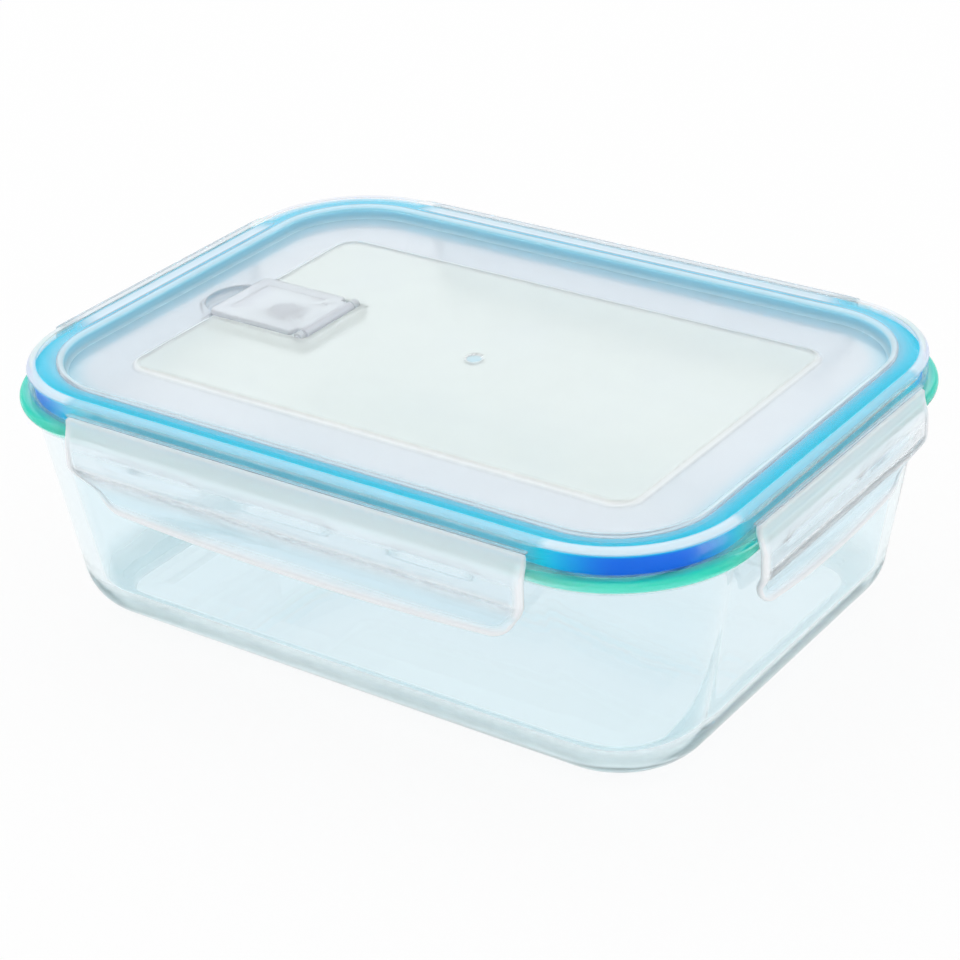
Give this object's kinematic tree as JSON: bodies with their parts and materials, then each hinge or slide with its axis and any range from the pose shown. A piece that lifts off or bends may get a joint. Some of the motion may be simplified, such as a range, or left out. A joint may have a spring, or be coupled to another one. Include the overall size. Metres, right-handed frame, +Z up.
{
  "type": "glass storage container",
  "caption": "Rectangular glass food dish with a clear sealed lid, hinged locking flaps on its sides and a small hinged steam vent.",
  "frame": {"origin": "centre of the dish on the surface it stands on", "axes": "+X along the long side, away from the vent; +Y across, towards the back flap; +Z up"},
  "size_m": [0.2104, 0.1574, 0.069],
  "materials": {
    "pressed_glass": "clear pressed glass with a faint green tint",
    "lid_plastic": "clear polypropylene with a slight haze",
    "flap_plastic": "clear polypropylene with a slight haze",
    "seal_silicone": "smooth blue silicone",
    "vent_silicone": "milky clear silicone"
  },
  "bodies": {
    "dish": {"glass_dish": "pressed_glass"},
    "lid": {"lid_shell": "lid_plastic", "seal_ring": "seal_silicone", "film_front": "lid_plastic", "film_back": "lid_plastic", "film_left": "lid_plastic", "film_right": "lid_plastic"},
    "front_lock": {"flap_front": "flap_plastic"},
    "back_lock": {"flap_back": "flap_plastic"},
    "left_lock": {"flap_left": "flap_plastic"},
    "right_lock": {"flap_right": "flap_plastic"},
    "vent": {"vent_flap": "lid_plastic", "vent_seal": "vent_silicone"}
  },
  "joints": [
    {"name": "lid_lift", "type": "slide", "parent": "dish", "child": "lid", "axis": [0, 0, 1], "range_m": [0, 0.18]},
    {"name": "front_lock_hinge", "type": "hinge", "parent": "lid", "child": "front_lock", "pos_m": [0, -0.0766, 0.0658], "axis": [-1, 0, 0], "range_deg": [0, 120], "deforming": ["film_front"]},
    {"name": "back_lock_hinge", "type": "hinge", "parent": "lid", "child": "back_lock", "pos_m": [0, 0.0766, 0.0658], "axis": [1, 0, 0], "range_deg": [0, 120], "deforming": ["film_back"]},
    {"name": "left_lock_hinge", "type": "hinge", "parent": "lid", "child": "left_lock", "pos_m": [-0.1031, 0, 0.0658], "axis": [0, 1, 0], "range_deg": [0, 120], "deforming": ["film_left"]},
    {"name": "right_lock_hinge", "type": "hinge", "parent": "lid", "child": "right_lock", "pos_m": [0.1031, 0, 0.0658], "axis": [0, -1, 0], "range_deg": [0, 120], "deforming": ["film_right"]},
    {"name": "vent_hinge", "type": "hinge", "parent": "lid", "child": "vent", "pos_m": [-0.046, 0, 0.0659], "axis": [0, 1, 0], "range_deg": [0, 100]}
  ]
}
